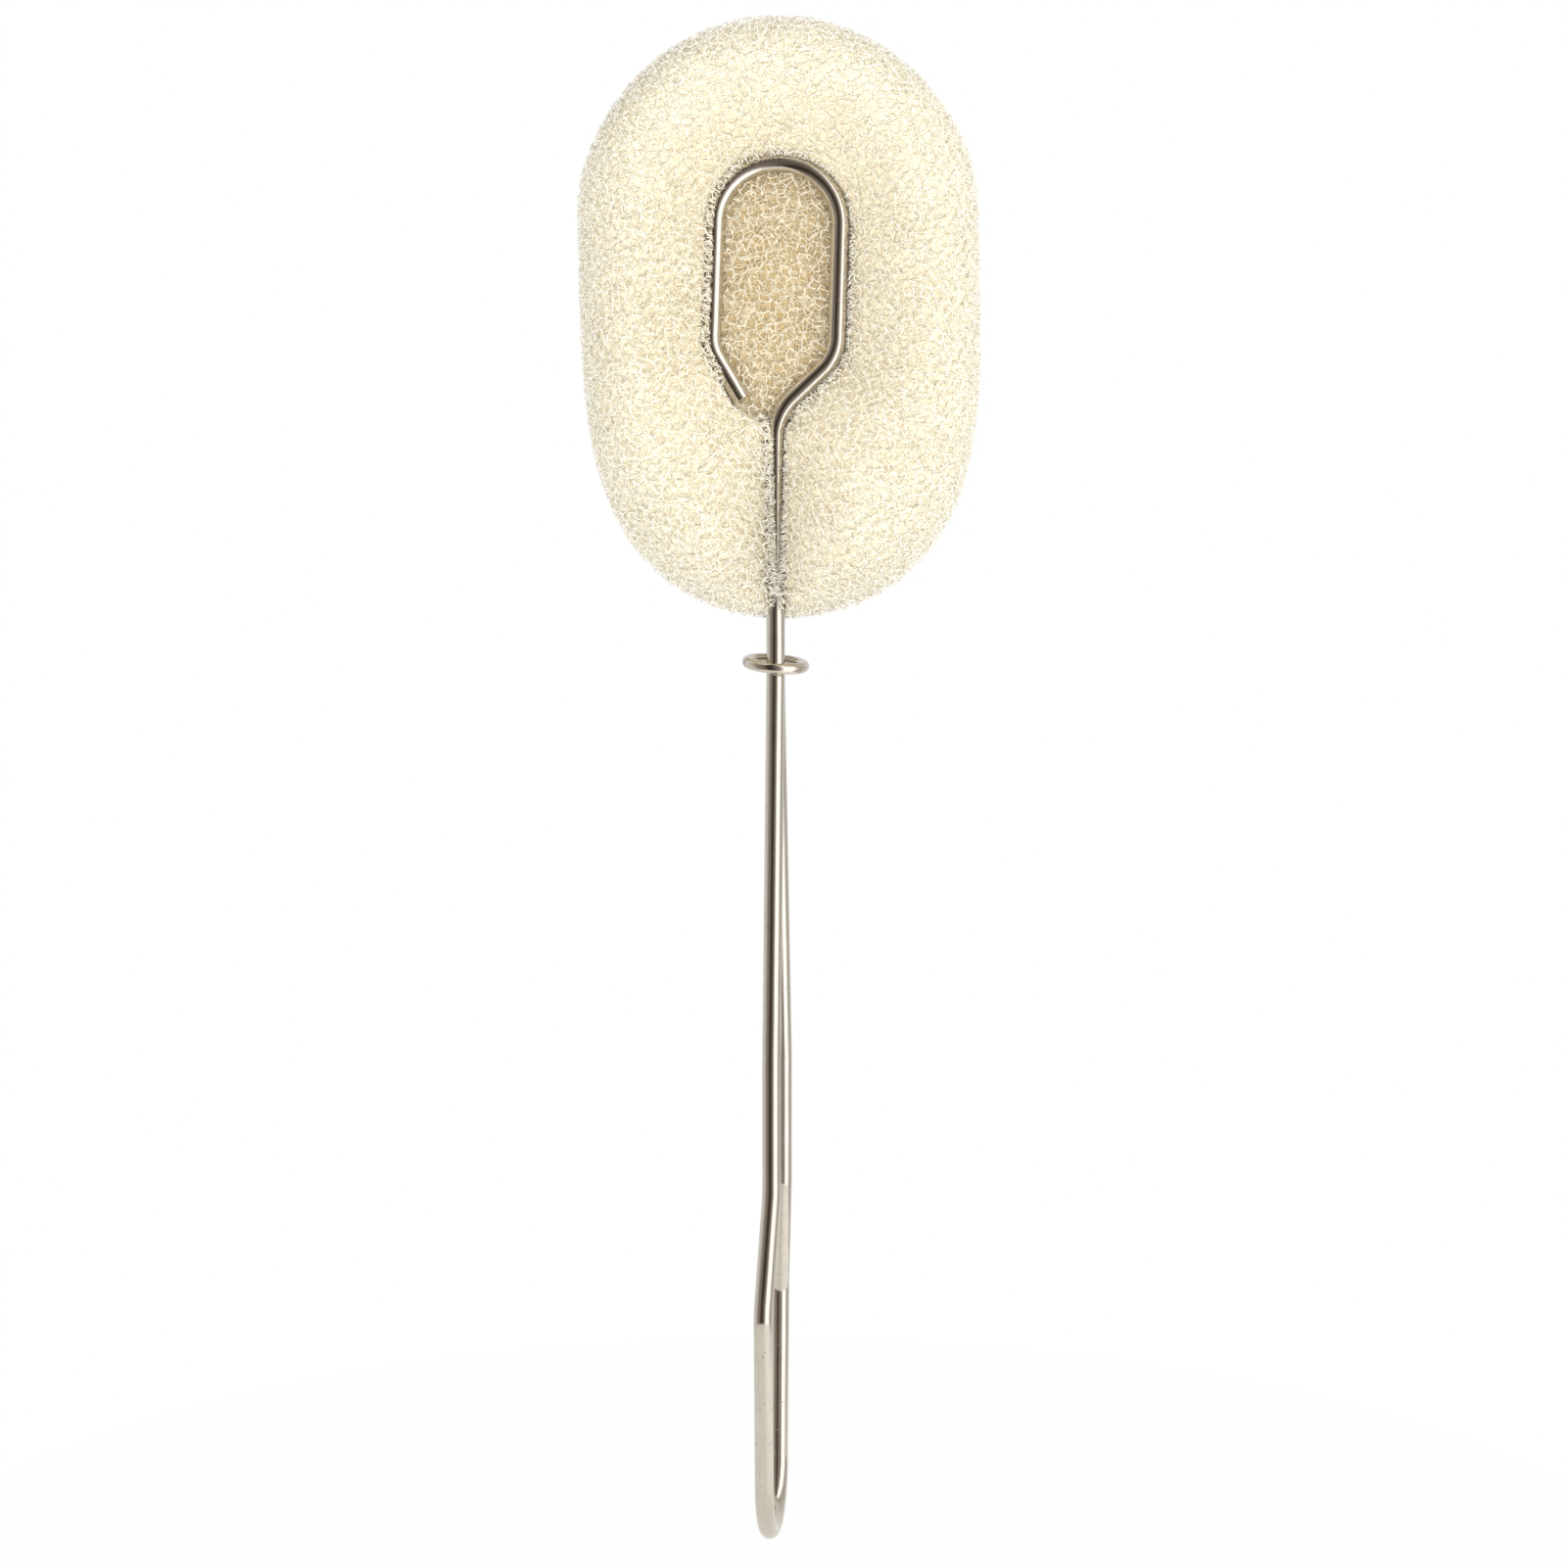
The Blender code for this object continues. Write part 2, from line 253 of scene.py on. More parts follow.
def splitAt(points, height):  # both halves get the point at the height
    for place, (low, high) in enumerate(zip(points, points[1:])):
        if low.z <= height < high.z:
            middle = low.lerp(high, (height - low.z) / (high.z - low.z))
            return points[:place + 1] + [middle], [middle] + points[place + 1:]
    return points, []


def filled(points, longest):  # straight runs get points too
    result = []
    for start, end in zip(points, points[1:]):
        steps = max(1, math.ceil((end - start).length / longest))
        result += [start.lerp(end, step / steps) for step in range(steps)]
    return result + [points[-1]]


def wirePiece(name, points, radius, sides, finish):
    curve = bpy.data.curves.new(name, "CURVE")
    curve.dimensions = "3D"
    curve.bevel_depth = radius
    curve.bevel_resolution = sides // 2 - 2
    curve.use_fill_caps = True
    spline = curve.splines.new("POLY")
    spline.points.add(len(points) - 1)
    for target, point in zip(spline.points, points):
        target.co = (*point, 1.0)
    piece = bpy.data.objects.new(name, curve)
    bpy.context.scene.collection.objects.link(piece)
    selectOnly(piece)
    bpy.ops.object.convert(target="MESH")
    piece = bpy.context.object
    bpy.ops.object.mode_set(mode="EDIT")
    bpy.ops.mesh.select_all(action="SELECT")
    bpy.ops.mesh.remove_doubles(threshold=wire["mergeWithin"])
    bpy.ops.mesh.normals_make_consistent(inside=False)
    bpy.ops.object.mode_set(mode="OBJECT")
    bpy.ops.object.shade_smooth_by_angle(angle=wire["smoothAngle"])
    piece.data.materials.clear()
    piece.data.materials.append(finish)
    return piece


steel = dict(  # what the polish of the wire and of the ring share
    streakStretch=0.05, streakShare=0.6, toneSpan=(0.35, 0.65), roughSpan=(0.35, 0.7),
    pitEdge=(0.10, 0.24), pitSpacing=0.21, pitPlaces=(0.60, 0.66),
    pitShade=0.6, pitRough=0.25, pitDepth=0.02 * mm,
)


def steelFinish(name, settings):
    finish = Finish(name)
    along = finish.place(scale=(1.0, 1.0, steel["streakStretch"]))  # marks run along the wire
    around = finish.place()
    streaks = finish.noise(along, settings["streakScale"], 3.0, 0.6)
    clouds = finish.noise(around, settings["cloudScale"], 3.0, 0.55)
    cells = finish.node("ShaderNodeTexVoronoi", Vector=around, Scale=settings["pitScale"])
    rare = finish.noise(around, settings["pitScale"] * steel["pitSpacing"], 0.0)
    pit = finish.spread(cells, *steel["pitEdge"], 1.0, 0.0)
    pit = pit * finish.spread(rare, *steel["pitPlaces"])
    share = steel["streakShare"]
    tone = finish.spread(streaks * share + clouds * (1.0 - share), *steel["toneSpan"])
    tint = finish.mix(tone, colour(*settings["dark"]), colour(*settings["light"]))
    finish.drive("Base Color", finish.mix(pit * steel["pitShade"], tint, colour(*settings["pit"])))
    finish.drive("Metallic", 1.0)
    rough = finish.spread((clouds + streaks) * 0.5, *steel["roughSpan"], *settings["rough"])
    finish.drive("Roughness", rough + pit * steel["pitRough"])
    height = streaks * settings["streakDepth"] - pit * steel["pitDepth"]
    finish.drive("Normal", finish.node("ShaderNodeBump", Strength=1.0, Distance=1.0, Height=height))
    return finish.material


wireSteel = steelFinish("polishedWire", dict(
    streakScale=2400.0, cloudScale=260.0, pitScale=1500.0,
    dark=(0.61, 0.57, 0.50), light=(0.71, 0.665, 0.59), pit=(0.16, 0.13, 0.10),
    rough=(0.05, 0.11), streakDepth=0.0008 * mm,
))
ringSteel = steelFinish("polishedRing", dict(
    streakScale=1800.0, cloudScale=420.0, pitScale=1300.0,
    dark=(0.61, 0.56, 0.485), light=(0.73, 0.68, 0.60), pit=(0.18, 0.14, 0.11),
    rough=(0.06, 0.12), streakDepth=0.0010 * mm,
))

lowLegs = []
for side in (front, back):
    leg = filled(roundedPath(legCorners(side)), wire["bendStep"])
    lowLegs.append(splitAt(leg, wire["legSplit"])[0])
bendLine = lowLegs[0][::-1] + bendPath()[1:-1] + lowLegs[1]
bendPiece = wirePiece("end_bend_wire", bendLine, wire["radius"], wire["sides"], wireSteel)
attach(bendPiece, "end_bend")
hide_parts("end_bend")

jawLines = {}
for side, word in ((front, "front"), (back, "back")):
    leg = filled(roundedPath(legCorners(side)), wire["legStep"])
    legLine, jawStart = splitAt(splitAt(leg, wire["legSplit"])[1], wire["jawSplit"])
    jawLine = filled(jawStart + roundedPath(jawCorners(side))[1:], wire["legStep"])
    jawLines[side] = [p for p in jawLine if p.z > wire["waistHigh"]]
    legPiece = wirePiece(word + "_leg_wire", legLine, wire["radius"], wire["sides"], wireSteel)
    legFoot = bendEnd(side)
    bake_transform(legPiece)
    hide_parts(word + "_leg")
    jawPiece = wirePiece(word + "_jaw_wire", jawLine, wire["radius"], wire["sides"], wireSteel)
    knee(side) - Vector((0, 0, 17 * mm))
    knee(side) + Vector((0, 0, 17 * mm))
    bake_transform(jawPiece)
    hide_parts(word + "_jaw")
print("handle wire made")

# the ring that holds both legs at the waist, with its two ends at the front's left
ring = dict(
    wireRadius=1.0 * mm, radius=5.2 * mm, height=160.3 * mm, buttGap=0.16 * mm,
    tilt=math.radians(12.5), roll=math.radians(5.0), buttTurn=math.radians(22.0),
    steps=120, sides=20,
)


def ringPath():
    halfGap = ring["buttGap"] / ring["radius"] / 2
    sweep = 2 * math.pi - 2 * halfGap
    lean = Matrix.Rotation(ring["roll"], 3, "Y") @ Matrix.Rotation(ring["tilt"], 3, "X")
    centre = Vector((0.0, 0.0, ring["height"]))
    first = math.pi + ring["buttTurn"] + halfGap
    angles = [first + sweep * step / ring["steps"] for step in range(ring["steps"] + 1)]
    flat = [Vector((math.cos(a), math.sin(a), 0.0)) * ring["radius"] for a in angles]
    return [centre + lean @ point for point in flat]


ringPiece = wirePiece("lock_ring_wire", ringPath(), ring["wireRadius"], ring["sides"], ringSteel)
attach(ringPiece, "lock_ring")
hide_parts("lock_ring")
print("lock ring made")

# the sponge: an inner skin with the pinched shape, and a net of struts over it
sponge = dict(
    halfWidth=36.7 * mm, halfDepth=21.5 * mm, widestHeight=243.5 * mm, rise=33.8 * mm,
    drop=74.7 * mm, side=0.45 * mm, lean=math.radians(-1.3), edgeRound=13.0 * mm,
    topPowers=(2.05, 1.74), bottomPowers=(2.02, 4.28), edgePower=2.3,
    spokes=400, edgeRows=26, faceRows=74, spokeCrowding=0.6, poleInset=30.0 * mm,
    islandRise=0.3 * mm, islandCrown=0.5 * mm, islandReach=9.0 * mm, wallWidth=0.4 * mm,
    loopValley=17.0 * mm, stemValley=14.0 * mm, stemPower=1.8,
    toneReach=24.0 * mm, tonePower=1.5, toneEdge=1.5 * mm,
    skinDepth=1.8 * mm, rimDepth=0.8 * mm, loopDepth=2.2 * mm,
    fineDepth=0.9 * mm, fineFrom=222.0 * mm, fineOver=34.0 * mm,
    lump=0.35 * mm, lumpWaves=((95.0, 0.3), (151.0, 1.7), (233.0, 4.1)), lumpStretch=(0.7, 0.83),
    lumpFrom=13.5 * mm,
)
loopLip = dict(  # foam beside the loop's wire, on its left, top and right
    sides=(-1.0, -0.2, 0.3, 1.0),
    start=(0.3, 0.7, 1.2, 1.9),  # mm out of the wire's middle
    rise=(3.4, 3.2, 2.6, 1.4),  # mm in front of it
    bareBelow=212.0 * mm, bareOver=3.0 * mm, bareLeft=-3.0 * mm, bareWidth=1.4 * mm,
)
stemLip = dict(  # and beside the stem, at these heights, all in mm
    heights=(168.0, 172.0, 177.0, 182.0, 190.0, 200.0, 204.0),
    left=(-0.4, -0.4, -0.2, 0.0, 0.2, 0.4, 1.6),
    right=(0.4, 0.8, 1.2, 1.2, 1.2, 1.5, 1.8),
    rise=(2.4, 3.2, 3.4, 3.4, 3.4, 2.8, 1.8),
)
tiny = 1e-9
faraway = 1.0


def powered(values, power):
    return np.sign(values) * np.abs(values) ** power


def rim(angle):
    across, up = np.sin(angle), -np.cos(angle)
    top = up > 0
    (topAcross, topUp), (lowAcross, lowUp) = sponge["topPowers"], sponge["bottomPowers"]
    x = sponge["halfWidth"] * np.where(top, powered(across, 2 / topAcross),
                                       powered(across, 2 / lowAcross))
    z = np.where(top, sponge["rise"] * powered(up, 2 / topUp),
                 sponge["drop"] * powered(up, 2 / lowUp))
    c, s = math.cos(sponge["lean"]), math.sin(sponge["lean"])
    return c * x + s * z + sponge["side"], c * z - s * x + sponge["widestHeight"]


def fading(distance, width, power=2.0):
    return np.clip(1.0 - distance / width, 0.0, 1.0) ** power


loopCorners = np.array([(p.x, p.z) for p in jawLines[front] if p.z >= wire["neckHeight"] - 1 * mm])


def loopReach(x, z):  # how far out of the loop, below 0 inside it, and which way
    nearest = np.full(x.shape, faraway)
    aside = np.zeros(x.shape)
    inside = np.zeros(x.shape, bool)
    for start, end in zip(loopCorners, np.roll(loopCorners, -1, axis=0)):
        run = end - start
        share = ((x - start[0]) * run[0] + (z - start[1]) * run[1]) / (run @ run)
        share = np.clip(share, 0.0, 1.0)
        offX, offZ = x - start[0] - run[0] * share, z - start[1] - run[1] * share
        away = np.hypot(offX, offZ)
        closer = away < nearest
        nearest = np.where(closer, away, nearest)
        aside = np.where(closer, offX / np.maximum(away, tiny), aside)
        crosses = (start[1] > z) != (end[1] > z)
        level = start[0] + (z - start[1]) / (run[1] if abs(run[1]) > tiny else tiny) * run[0]
        inside ^= crosses & (x < level)
    return np.where(inside, -nearest, nearest), aside


def faceDepth(x, z, inset, cover):  # cover is how deep below the outside
    outside, aside = loopReach(x, z)
    beside = 0.0 if cover == 0.0 else wire["radius"]
    if cover > 0.0:  # less deep towards the top, where the foam is finer, deeper in the loop
        high = np.clip((z - sponge["fineFrom"]) / sponge["fineOver"], 0.0, 1.0)
        cover = cover + (sponge["fineDepth"] - cover) * high
        cover = np.where(outside < 0.0, sponge["loopDepth"], cover)
    share = np.clip(inset / sponge["edgeRound"], 0.0, 1.0)
    power = sponge["edgePower"]
    crown = (sponge["halfDepth"] - cover) * (1.0 - (1.0 - share) ** power) ** (1 / power)
    bare = np.clip((loopLip["bareBelow"] - z) / loopLip["bareOver"], 0.0, 1.0)
    bare = bare * (x < loopLip["bareLeft"]) * loopLip["bareWidth"]
    lip = np.interp(aside, loopLip["sides"], loopLip["start"]) * mm + bare
    start = outside - np.maximum(lip, beside)
    wall = wire["jawDepth"] + np.interp(aside, loopLip["sides"], loopLip["rise"]) * mm - cover
    island = wire["jawDepth"] + sponge["islandRise"] - cover
    island = island + sponge["islandCrown"] * np.clip(-outside / sponge["islandReach"], 0.0, 1.0)
    risen = crown - (crown - wall) * fading(start, sponge["loopValley"])
    climb = np.clip(start / sponge["wallWidth"] + 0.5, 0.0, 1.0)
    loopFace = island * (1.0 - climb) + risen * climb
    along = (z - wire["waistHigh"]) / (wire["neckHeight"] - wire["waistHigh"])
    along = np.clip(along, 0.0, 1.0)
    stem = wire["waistHalfSpread"] + (wire["jawDepth"] - wire["waistHalfSpread"]) * along
    aside = x - wire["neckSide"] * along
    heights = np.array(stemLip["heights"]) * mm
    left, right, rise = (np.interp(z, heights, np.array(stemLip[key]) * mm)
                         for key in ("left", "right", "rise"))
    start = np.abs(aside) - np.maximum(np.where(aside < 0, left, right), beside)
    valley = fading(start, sponge["stemValley"], sponge["stemPower"])
    risen = crown - (crown - stem - rise + cover) * valley
    climb = np.clip(start / sponge["wallWidth"] + 0.5, 0.0, 1.0)
    stemFace = (stem + sponge["islandRise"] - cover) * (1.0 - climb) + risen * climb
    stemFace = np.where(z < wire["shoulderHeight"], stemFace, crown)
    return np.clip(np.minimum(loopFace, stemFace), 0.0, crown)


def lumps(x, y, z):  # slow swells, so that no stretch of foam is quite true
    total = np.zeros_like(x)
    deepways, upwards = sponge["lumpStretch"]
    for turn, (scale, shift) in enumerate(sponge["lumpWaves"]):
        wave = np.sin(x * scale + shift + turn) * np.cos(z * scale * upwards - shift)
        total += wave * np.cos(y * scale * deepways + turn)
    return total / len(sponge["lumpWaves"]) * sponge["lump"]


def envelope(cover=0.0):  # the sponge's shape, row by row from the front's middle to the back's
    spokes = sponge["spokes"]
    turn = np.arange(spokes) / spokes * 2 * math.pi
    rimX, rimZ = rim(turn - sponge["spokeCrowding"] * np.sin(turn))
    midX = (wire["loopLowSide"] + wire["loopTopSide"]) / 2
    midZ = (wire["loopLow"] + wire["loopTop"]) / 2
    reach = np.hypot(rimX - midX, rimZ - midZ)
    within = 1.0 - min(cover, sponge["rimDepth"]) / reach
    rimX, rimZ, reach = midX + (rimX - midX) * within, midZ + (rimZ - midZ) * within, reach * within
    quarter = np.linspace(0, math.pi / 2, sponge["edgeRows"] + 1)
    edge = (1.0 - np.cos(quarter) ** (2 / sponge["edgePower"])) * sponge["edgeRound"]
    faceRows = sponge["faceRows"]
    rows = [(reach - sponge["edgeRound"]) * (1 - step / faceRows) + sponge["edgeRound"]
            for step in range(1, faceRows)]
    rows += [np.full_like(reach, value) for value in edge[::-1]]
    corners = []
    for side in (front, back):
        for inset in (rows if side == front else rows[-2::-1]):
            share = 1.0 - inset / reach
            x = midX + (rimX - midX) * share
            z = midZ + (rimZ - midZ) * share
            depth = faceDepth(x, z, inset, cover)
            swell = lumps(x, side * depth, z) * np.clip(inset / sponge["edgeRound"], 0, 1)
            depth = depth + swell * (depth > sponge["lumpFrom"] - cover)
            corners.append(np.stack([x, side * depth, z], 1))
    grid = np.concatenate(corners)
    pole = [np.array([value]) for value in (midX, midZ, sponge["poleInset"])]
    poleDepth = float(faceDepth(*pole, cover)[0])
    poles = np.array([(midX, side * poleDepth, midZ) for side in (front, back)])
    here = np.arange(spokes)
    after = (here + 1) % spokes
    faces = []
    for row in range(len(corners) - 1):
        a, b = row * spokes, (row + 1) * spokes
        faces += np.stack([a + here, b + here, b + after, a + after], 1).tolist()
    faces += np.stack([np.full(spokes, len(grid)), here, after], 1).tolist()
    last = (len(corners) - 1) * spokes
    faces += np.stack([np.full(spokes, len(grid) + 1), last + after, last + here], 1).tolist()
    return np.concatenate([grid, poles]), faces


# painted shade: the foam is coloured darker and warmer beside the loop's wire and more so inside
# the loop, where the wire shades it
def paintedFoamShade(points, outer, near, inner):  # at the sponge's edges, beside the loop and inside it
    outside, _ = loopReach(points[:, 0], points[:, 2])
    beside = fading(np.maximum(outside, 0.0), sponge["toneReach"], sponge["tonePower"])
    within = np.clip(0.5 - outside / sponge["toneEdge"], 0.0, 1.0)
    return (outer + (near - outer) * beside) * (1.0 - within) + inner * within


# the tone attribute carries the painted shade to the foam's finishes
def writePaintedShade(mesh, paintedShades):
    mesh.attributes.new("tone", "FLOAT", "POINT").data.foreach_set("value", paintedShades)


foam = dict(cloudScale=150.0, cloudShare=0.35, speckleScale=1300.0, rough=0.7, specular=0.25)


def foamFinish(name, settings):
    finish = Finish(name)
    place = finish.place()
    # the tone attribute is painted shade and mixes the light colour towards the dark one; clouds
    # and speckle add random tone
    tone = finish.node("ShaderNodeAttribute", {"attribute_name": "tone"}, output="Fac")
    clouds = finish.noise(place, foam["cloudScale"], 3.0)
    speckle = finish.noise(place, foam["speckleScale"], 1.0)
    shift = (clouds - 0.5) * foam["cloudShare"] + (speckle - 0.5) * settings["grain"]
    tint = finish.mix(tone + shift, colour(*settings["light"]), colour(*settings["dark"]))
    finish.drive("Base Color", tint)
    finish.drive("Roughness", foam["rough"])
    finish.drive("Specular IOR Level", foam["specular"])
    return finish, place, tint


# the skin's dark colour is its painted shade beside and inside the loop
deepFoam = dict(  # the skin, with the walls of deeper cells drawn on it
    light=(0.97, 0.90, 0.70), dark=(0.62, 0.46, 0.23), grain=0.25, paintedShades=(0.1, 0.4, 0.9),
    bendScale=900.0, bend=0.0006, strand=(0.98, 0.92, 0.73), bump=0.8,
    wallScale=560.0, wallEdge=(0.04, 0.14), wallShare=0.45, wallHeight=0.5 * mm,
    finerScale=980.0, finerEdge=(0.04, 0.12), finerShare=0.15, finerHeight=0.2 * mm,
)


def skinFinish():
    finish, place, tint = foamFinish("deepFoam", deepFoam)
    bend = finish.noise(place, deepFoam["bendScale"], 1.0, output="Color")
    bent = finish.node("ShaderNodeMix", {"data_type": "VECTOR"}, output=1, in_0=deepFoam["bend"],
                       in_4=place, in_5=bend)
    walls, finer = (finish.node("ShaderNodeTexVoronoi", {"feature": "DISTANCE_TO_EDGE"},
                                Vector=bent, Scale=deepFoam[key])
                    for key in ("wallScale", "finerScale"))
    strand = finish.spread(walls, *deepFoam["wallEdge"], 1.0, 0.0)
    thin = finish.spread(finer, *deepFoam["finerEdge"], 1.0, 0.0)
    drawn = strand * deepFoam["wallShare"] + thin * deepFoam["finerShare"]
    finish.drive("Base Color", finish.mix(drawn, tint, colour(*deepFoam["strand"])))
    height = strand * deepFoam["wallHeight"] + thin * deepFoam["finerHeight"]
    bump = finish.node("ShaderNodeBump", Strength=deepFoam["bump"], Distance=1.0, Height=height)
    finish.drive("Normal", bump)
    return finish.material


# light is the strands' colour near the surface, dark their painted shade deep down and by the loop
net = dict(
    cell=2.6 * mm, jitter=0.12, mostJitter=0.28, warp=0.5 * mm, warpWaves=(700.0, 520.0), seed=11,
    turns=((0.61, "X"), (0.43, "Z"), (0.37, "Y")), middle=(0.7 * mm, 0.0, 223.2 * mm),
    reach=70.0 * mm, halfBox=(40.0 * mm, 25.0 * mm, 58.0 * mm), margin=1.2,
    shell=2.1 * mm, overshoot=0.18 * mm, wireStep=0.4 * mm, wireGap=0.06 * mm, shortest=0.12 * mm,
    endRadius=0.13 * mm, middleRadius=0.085 * mm, thickness=(0.85, 1.15),
    light=(0.98, 0.95, 0.86), dark=(0.92, 0.81, 0.57), grain=0.10,
    paintedShades=(-0.05, 0.08, 0.37), depthShade=0.55,
)
cornersPerCell = 12
cornersPerStrut = 9


def cellLinks():  # corners of one cell of a froth of equal bubbles, and the struts between them
    base = np.array([(0, .25, .5), (0, .75, .5), (0, .5, .25), (0, .5, .75),
                     (.25, 0, .5), (.75, 0, .5), (.5, 0, .25), (.5, 0, .75),
                     (.25, .5, 0), (.75, .5, 0), (.5, .25, 0), (.5, .75, 0)])
    strutLength = math.sqrt(0.125)
    links = set()
    for i in range(cornersPerCell):
        for j in range(cornersPerCell):
            for step in np.ndindex(3, 3, 3):
                step = tuple(int(v) - 1 for v in step)
                gap = np.linalg.norm(base[j] + step - base[i])
                reverse = (j, i, *(-v for v in step))
                if abs(gap - strutLength) < 1e-6 and reverse not in links:
                    links.add((i, j, *step))
    return base, sorted(links)


def netCorners(tree, base, rng):  # the cells near the sponge's surface, and all their corners
    cell = net["cell"]
    turned = Matrix.Identity(3)
    for angle, axis in net["turns"]:
        turned = turned @ Matrix.Rotation(angle, 3, axis)
    turned = np.array(turned)
    middle = np.array(net["middle"])
    half = math.ceil(net["reach"] / cell)
    grid = np.arange(-half, half + 1)
    cells = np.stack(np.meshgrid(grid, grid, grid, indexing="ij"), -1).reshape(-1, 3)
    centres = (cells + 0.5) * cell @ turned.T + middle
    inBox = (np.abs(centres - middle) < np.array(net["halfBox"])).all(1)
    margin = net["margin"] * cell
    chosen = []
    for place in np.nonzero(inBox)[0]:
        spot, normal, _, _ = tree.find_nearest(Vector(centres[place]))
        inward = (spot - Vector(centres[place])).dot(normal)
        if -margin < inward < net["shell"] + margin:
            chosen.append(place)
    points = ((cells[chosen][:, None, :] + base[None]) * cell).reshape(-1, 3)
    most = net["mostJitter"] * cell
    points += rng.normal(0.0, net["jitter"] * cell, points.shape).clip(-most, most)
    points = points @ turned.T + middle
    first, second = net["warpWaves"]
    for axis in range(3):
        other, third = points[:, (axis + 1) % 3], points[:, (axis + 2) % 3]
        swell = np.sin(other * first + axis) * np.cos(third * second + 2 * axis)
        points[:, axis] += net["warp"] * swell
    number = -np.ones(len(cells), int)
    number[chosen] = np.arange(len(chosen))
    return points, cells[chosen] + half, number, len(grid)


def spongeNet(tree, wireTree, rng):
    base, links = cellLinks()
    points, here, number, size = netCorners(tree, base, rng)
    depth = np.empty(len(points))
    wireAway = np.empty(len(points))
    for place, point in enumerate(points):
        away = tree.find_nearest(Vector(point))[3]
        outward = Vector((0.0, math.copysign(1.0, point[1]), 0.0))
        spot, normal, _, _ = tree.ray_cast(Vector(point), outward)
        depth[place] = away if spot is not None and normal.dot(outward) > 0.0 else -away
        wireAway[place] = wireTree.find(Vector(point))[2]
    starts, ends = [], []
    for i, j, *step in links:
        there = np.clip(here + step, 0, size - 1)
        target = number[(there[:, 0] * size + there[:, 1]) * size + there[:, 2]]
        good = target >= 0
        starts.append(np.nonzero(good)[0] * cornersPerCell + i)
        ends.append(target[good] * cornersPerCell + j)
    a, b = np.concatenate(starts), np.concatenate(ends)
    # an outer end is cut off near the surface, and one that would go into a wire stops at it
    deeper = depth[a] > depth[b]
    a, b = np.where(deeper, a, b), np.where(deeper, b, a)
    keep = (depth[a] > 0) & (depth[b] < net["shell"])
    a, b = a[keep], b[keep]
    over = rng.random(len(a)) ** 2 * net["overshoot"]
    fall = np.maximum(depth[a] - depth[b], tiny)
    share = np.where(depth[b] < -over, (depth[a] + over) / fall, 1.0)
    p, q = points[a], points[a] + (points[b] - points[a]) * share[:, None]
    depths = (depth[a] + np.maximum(depth[b], 0.0)) / 2
    limit = wire["radius"] + net["wireGap"]
    awayP, awayQ = wireAway[a], wireAway[a] + (wireAway[b] - wireAway[a]) * share
    cutQ = np.where(awayQ < limit, (awayP - limit) / np.maximum(awayP - awayQ, tiny), 1.0)
    cutP = np.where(awayP < limit, (awayQ - limit) / np.maximum(awayQ - awayP, tiny), 1.0)
    p, q = q + (p - q) * cutP[:, None], p + (q - p) * cutQ[:, None]
    good = (awayP > limit) | (awayQ > limit)
    good &= np.linalg.norm(q - p, axis=1) > net["shortest"]
    return p[good], q[good], depths[good]


# cut ends of struts that lean on the wires: how many to a millimetre, and how far round the wire,
# in degrees from its side to its front, they reach
fibre = dict(
    loopCount=6, sides=(-1.0, -0.2, 0.3, 1.0), reach=(76.0, 72.0, 55.0, 30.0),
    heights=(172.0, 177.0, 182.0, 200.0, 203.0),
    leftCount=22, left=(125.0, 98.0, 86.0, 72.0, 30.0),
    rightCount=14, right=(110.0, 72.0, 66.0, 40.0, 30.0),
    above=171.5 * mm, tipFree=3.2 * mm, stemMargin=2.0 * mm, stray=0.35,
    length=(0.6 * mm, 1.7 * mm), lift=(0.08 * mm, 0.4 * mm), lean=(8.0, 60.0),
    depths=(0.2 * mm, 1.2 * mm),
)


def fibreGroups(start, outward):  # towards which side, how far round and how many
    stemTop = wire["neckHeight"] - fibre["stemMargin"]
    if start.z >= stemTop or abs(start.x) >= fibre["stemMargin"]:
        reach = np.interp(outward.x, fibre["sides"], fibre["reach"])
        return [(outward, reach, fibre["loopCount"])]
    left, right = (np.interp(start.z / mm, fibre["heights"], fibre[key])
                   for key in ("left", "right"))
    return [(outward, right, fibre["rightCount"]), (-outward, left, fibre["leftCount"])]


def fibreEnds(rng):
    tips, roots = [], []
    for side in (front, back):
        wireEnd = jawLines[side][-1]
        ahead = Vector((0.0, side, 0.0))
        line = [p for p in jawLines[side]
                if p.z > fibre["above"] and (p - wireEnd).length > fibre["tipFree"]]
        for start, end in zip(line, line[1:]):
            run = (end - start).normalized()
            outward = Vector((run.z, 0.0, -run.x)).normalized()
            for aside, reach, density in fibreGroups(start, outward):
                for _ in range(rng.poisson(density * (end - start).length / mm)):
                    swing = math.radians(reach * (1.0 - rng.random() ** 2))
                    away = wire["radius"] + rng.uniform(*fibre["lift"])
                    out = aside * math.cos(swing) + ahead * math.sin(swing)
                    tip = start.lerp(end, rng.random()) + out * away
                    lean = math.radians(rng.uniform(*fibre["lean"]))
                    way = aside * math.cos(lean) + ahead * math.sin(lean)
                    way = way + run * rng.normal(0.0, fibre["stray"])
                    tips.append(tip)
                    roots.append(tip + way.normalized() * rng.uniform(*fibre["length"]))
    return np.array(roots), np.array(tips)


# a map for later painting: four copies of the front view, for front and back, shallow and deep
paintMap = dict(left=-42.0 * mm, width=84.0 * mm, bottom=165.0 * mm, height=116.0 * mm,
                size=0.49, step=0.5, deep=1.0 * mm, patch=0.0016)


def paintPlaces(middle, depths, patch):
    u = (middle[:, 0] - paintMap["left"]) / paintMap["width"]
    v = (middle[:, 2] - paintMap["bottom"]) / paintMap["height"]
    u, v = (np.clip(value, 0.0, 0.99) * paintMap["size"] for value in (u, v))
    u = u + paintMap["step"] * (middle[:, 1] > 0)
    v = v + paintMap["step"] * (depths > paintMap["deep"])
    return np.stack([u, v], 1)[:, None, :] + np.array(patch)[None] * paintMap["patch"]


